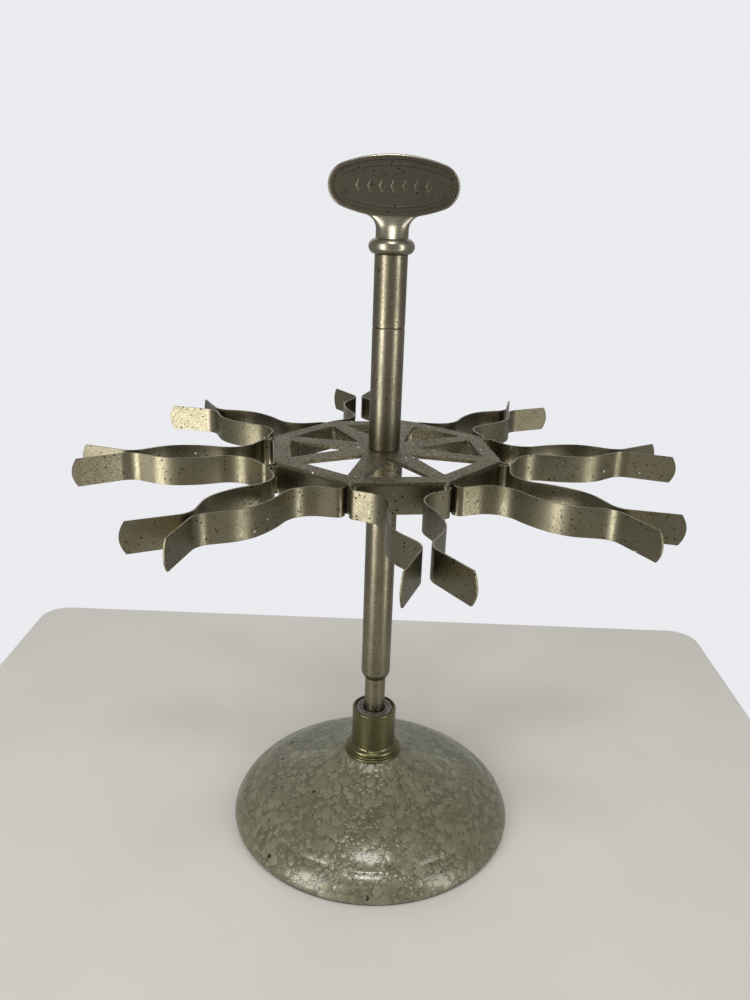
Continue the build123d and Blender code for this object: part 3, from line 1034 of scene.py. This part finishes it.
def bare_steel(name, dark, pale, rough):
    """Bare steel with a fine, uneven tone."""
    material, tree, shader, place = new_material(name)
    tone = use_group(tree, MOTTLE, {"Place": place, "Patch Scale": 260.0, "Grain Scale": 2200.0})
    mixed = calc(tree, "MULTIPLY", calc(tree, "ADD", tone["Patch"], tone["Grain"]), 0.5)
    colour = blend_colour(tree, mixed, (*dark, 1), (*pale, 1))
    tree.links.new(colour, shader.inputs["Base Color"])
    shader.inputs["Metallic"].default_value = 0.9
    tree.links.new(fade(tree, mixed, 0.0, 1.0, rough + 0.2, rough), shader.inputs["Roughness"])
    bump(tree, shader, tone["Grain"], 0.3, 0.03)
    return material


# %% Make the materials
CLIP_FACE = plated(
    "clip_face", (0.12, 0.106, 0.065), (0.215, 0.196, 0.134), (0.3, 0.42),
    pits=(540.0, 1.0, 0.27), flecks=0.14, grain=0.5,
)
CLIP_EDGE = plated(
    "clip_edge", (0.07, 0.062, 0.04), (0.17, 0.154, 0.108), (0.34, 0.46),
    pits=(600.0, 0.3, 0.2),
)
POST = plated(
    "post_nickel", (0.085, 0.073, 0.045), (0.26, 0.234, 0.166), (0.27, 0.4),
    pits=(460.0, 0.5, 0.24), marks=0.25, grain=0.55, bump_mm=0.03,
)
CASTING = plated(
    "wheel_casting", (0.055, 0.047, 0.028), (0.225, 0.2, 0.13), (0.4, 0.6),
    pits=(900.0, 0.9, 0.32), flecks=0.4, grain=0.85, bump_mm=0.18,
)
KNOB = plated(
    "knob_plate", (0.19, 0.172, 0.125), (0.31, 0.288, 0.22), (0.22, 0.34),
    pits=(420.0, 0.15, 0.26), grain=0.35, bump_mm=0.02,
)
PEWTER = plated(
    "knob_field", (0.05, 0.043, 0.03), (0.13, 0.114, 0.083), (0.34, 0.52),
    pits=(620.0, 0.5, 0.28), grain=0.65, bump_mm=0.08,
)
BRONZE = plated(
    "collar_bronze", (0.078, 0.073, 0.032), (0.18, 0.168, 0.09), (0.26, 0.42),
    pits=(420.0, 0.25, 0.22), flecks=0.06, marks=0.3, grain=0.45, bump_mm=0.06,
)
ENAMEL = hammer_enamel()
FELT = felt()
BEARING = bare_steel("bearing_steel", (0.06, 0.057, 0.048), (0.3, 0.29, 0.255), 0.4)
FASTENER = bare_steel("fastener_steel", (0.2, 0.19, 0.17), (0.42, 0.41, 0.38), 0.3)
BALL = bare_steel("ball_steel", (0.45, 0.45, 0.45), (0.7, 0.7, 0.7), 0.08)
FINISHES = [CLIP_FACE, CLIP_EDGE, POST, CASTING, KNOB, PEWTER, BRONZE, ENAMEL, FELT, BEARING, FASTENER, BALL]
print("finishes:", [finish.name for finish in FINISHES])

# %% Put the materials on the pieces
for piece, material in [
    (base, ENAMEL), (collar, BRONZE), (ring, BRONZE), (bush, BEARING), (spindle, POST),
    (lower_tube, POST), (upper_tube, POST), (wheel, CASTING), (plate, KNOB),
]:
    piece.data.materials.clear()
    piece.data.materials.append(material)
for clip in clips:
    clip.data.materials.clear()
    clip.data.materials.append(CLIP_FACE)
    clip.data.materials.append(CLIP_EDGE)
plate.data.materials.append(PEWTER)
FIELD_FOOT = 0.2655
for face in plate.data.polygons:
    face.material_index = int(face.center.z > FIELD_FOOT and abs(face.normal.y) > 0.9)
for name, material in [
    ("foot_pad", FELT), ("lock_washer", FASTENER), ("base_nut", FASTENER), ("thrust_ball", BALL),
]:
    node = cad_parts[name]
    node.data.materials.clear()
    node.data.materials.append(material)
print("the plate has", len(plate.data.materials), "finishes, each clip", len(clips[0].data.materials))

# %% Finish each piece, hang it on its body and hide the nodes it stands for
finish_piece(base, "base", "hammer_enamel", "base_dome")
finish_piece(ring, "base", "collar_bronze", "trim_ring")
finish_piece(collar, "base", "collar_bronze", "socket_collar")
finish_piece(bush, "base", "bearing_steel", "socket_bush")
finish_piece(spindle, "rotor", "post_nickel", "spindle")
finish_piece(lower_tube, "rotor", "post_nickel", "middle_sleeve")
finish_piece(upper_tube, "rotor", "post_nickel", "upper_sleeve")
finish_piece(wheel, "rotor", "wheel_plate", "wheel")
finish_piece(plate, "rotor", "knob_pewter", "finial")
for index, clip in enumerate(clips):
    finish_piece(clip, "rotor", "clip_nickel", f"clip_{index + 1}")

# %% [markdown]
# ## Floor and light
# The floor is a plain pale slab with soft corners. Metal shows what is around it, so the light
# is what makes it look like metal: two tall soft boxes in front give the post its two bright
# lines, a small one overhead draws the highlight on the base's ridge, a wide one behind
# brightens the top of the wheel, and the room itself stays dim.

# %% Build the floor
FLOOR_LEFT, FLOOR_RIGHT = -0.226, 0.214
FLOOR_NEAR, FLOOR_FAR = -0.55, 0.19
FLOOR_DEEP = 0.03


def pale_floor():
    """A slab with rounded corners, whose top is where the rack stands."""
    deselect_all()
    bpy.ops.mesh.primitive_plane_add(size=1, location=(0, 0, 0))
    floor = name_active("floor")
    bpy.ops.object.mode_set(mode="EDIT")
    bpy.ops.mesh.select_all(action="SELECT")
    size = (FLOOR_RIGHT - FLOOR_LEFT, FLOOR_FAR - FLOOR_NEAR, 1)
    bpy.ops.transform.resize(value=size, center_override=(0, 0, 0))
    middle = ((FLOOR_RIGHT + FLOOR_LEFT) / 2, (FLOOR_FAR + FLOOR_NEAR) / 2, 0)
    bpy.ops.transform.translate(value=middle)
    extrude((0, 0, -FLOOR_DEEP))
    select_where("EDGE", upright)
    bpy.ops.mesh.bevel(offset=0.016, segments=6, affect="EDGES")
    close_mesh()
    soften(floor, 1.5, 50, 3)
    material, tree, shader, place = new_material("pale_floor")
    cloud = noise(tree, place, 14.0, 4.0)
    colour = blend_colour(tree, cloud, (0.53, 0.516, 0.463, 1), (0.6, 0.586, 0.537, 1))
    tree.links.new(colour, shader.inputs["Base Color"])
    shader.inputs["Roughness"].default_value = 0.45
    floor.data.materials.append(material)
    return floor


print("floor", tuple(round(size, 3) for size in pale_floor().dimensions))

# %% Build the lights


def soft_box(name, place, target, width, height, watts, tint=(1, 1, 1)):
    """A rectangular soft light that faces a target."""
    light = bpy.data.lights.new(name, "AREA")
    light.shape = "RECTANGLE"
    light.size = width
    light.size_y = height
    light.energy = watts
    light.color = tint
    lamp = bpy.data.objects.new(name, light)
    bpy.context.scene.collection.objects.link(lamp)
    lamp.location = place
    lamp.rotation_euler = (Vector(target) - Vector(place)).to_track_quat("-Z", "Y").to_euler()
    return lamp


def room_light(backdrop=(0.83, 0.835, 0.87), dim=(0.4, 0.4, 0.4)):
    """A pale backdrop for the camera, and a dimmer room for the light that falls on things."""
    world = bpy.data.worlds.new("room")
    world.use_nodes = True
    bpy.context.scene.world = world
    tree = world.node_tree
    seen = tree.nodes.new("ShaderNodeLightPath").outputs["Is Camera Ray"]
    colour = blend_colour(tree, seen, (*dim, 1), (*backdrop, 1))
    tree.links.new(colour, tree.nodes["Background"].inputs["Color"])


room_light()
soft_box("window_left", (-0.75, -0.75, 0.2), (0, 0, 0.2), 0.4, 1.5, 15)
soft_box("window_right", (0.85, -0.6, 0.2), (0, 0, 0.2), 0.26, 1.5, 7.5)
soft_box("overhead", (0, -0.46, 1.2), (0, 0, 0), 0.3, 0.22, 5)
soft_box("behind", (0, 1.2, 0.7), (0, 0, 0.15), 1.6, 0.7, 2, (1, 0.97, 0.9))
bpy.context.scene.view_settings.view_transform = "Standard"
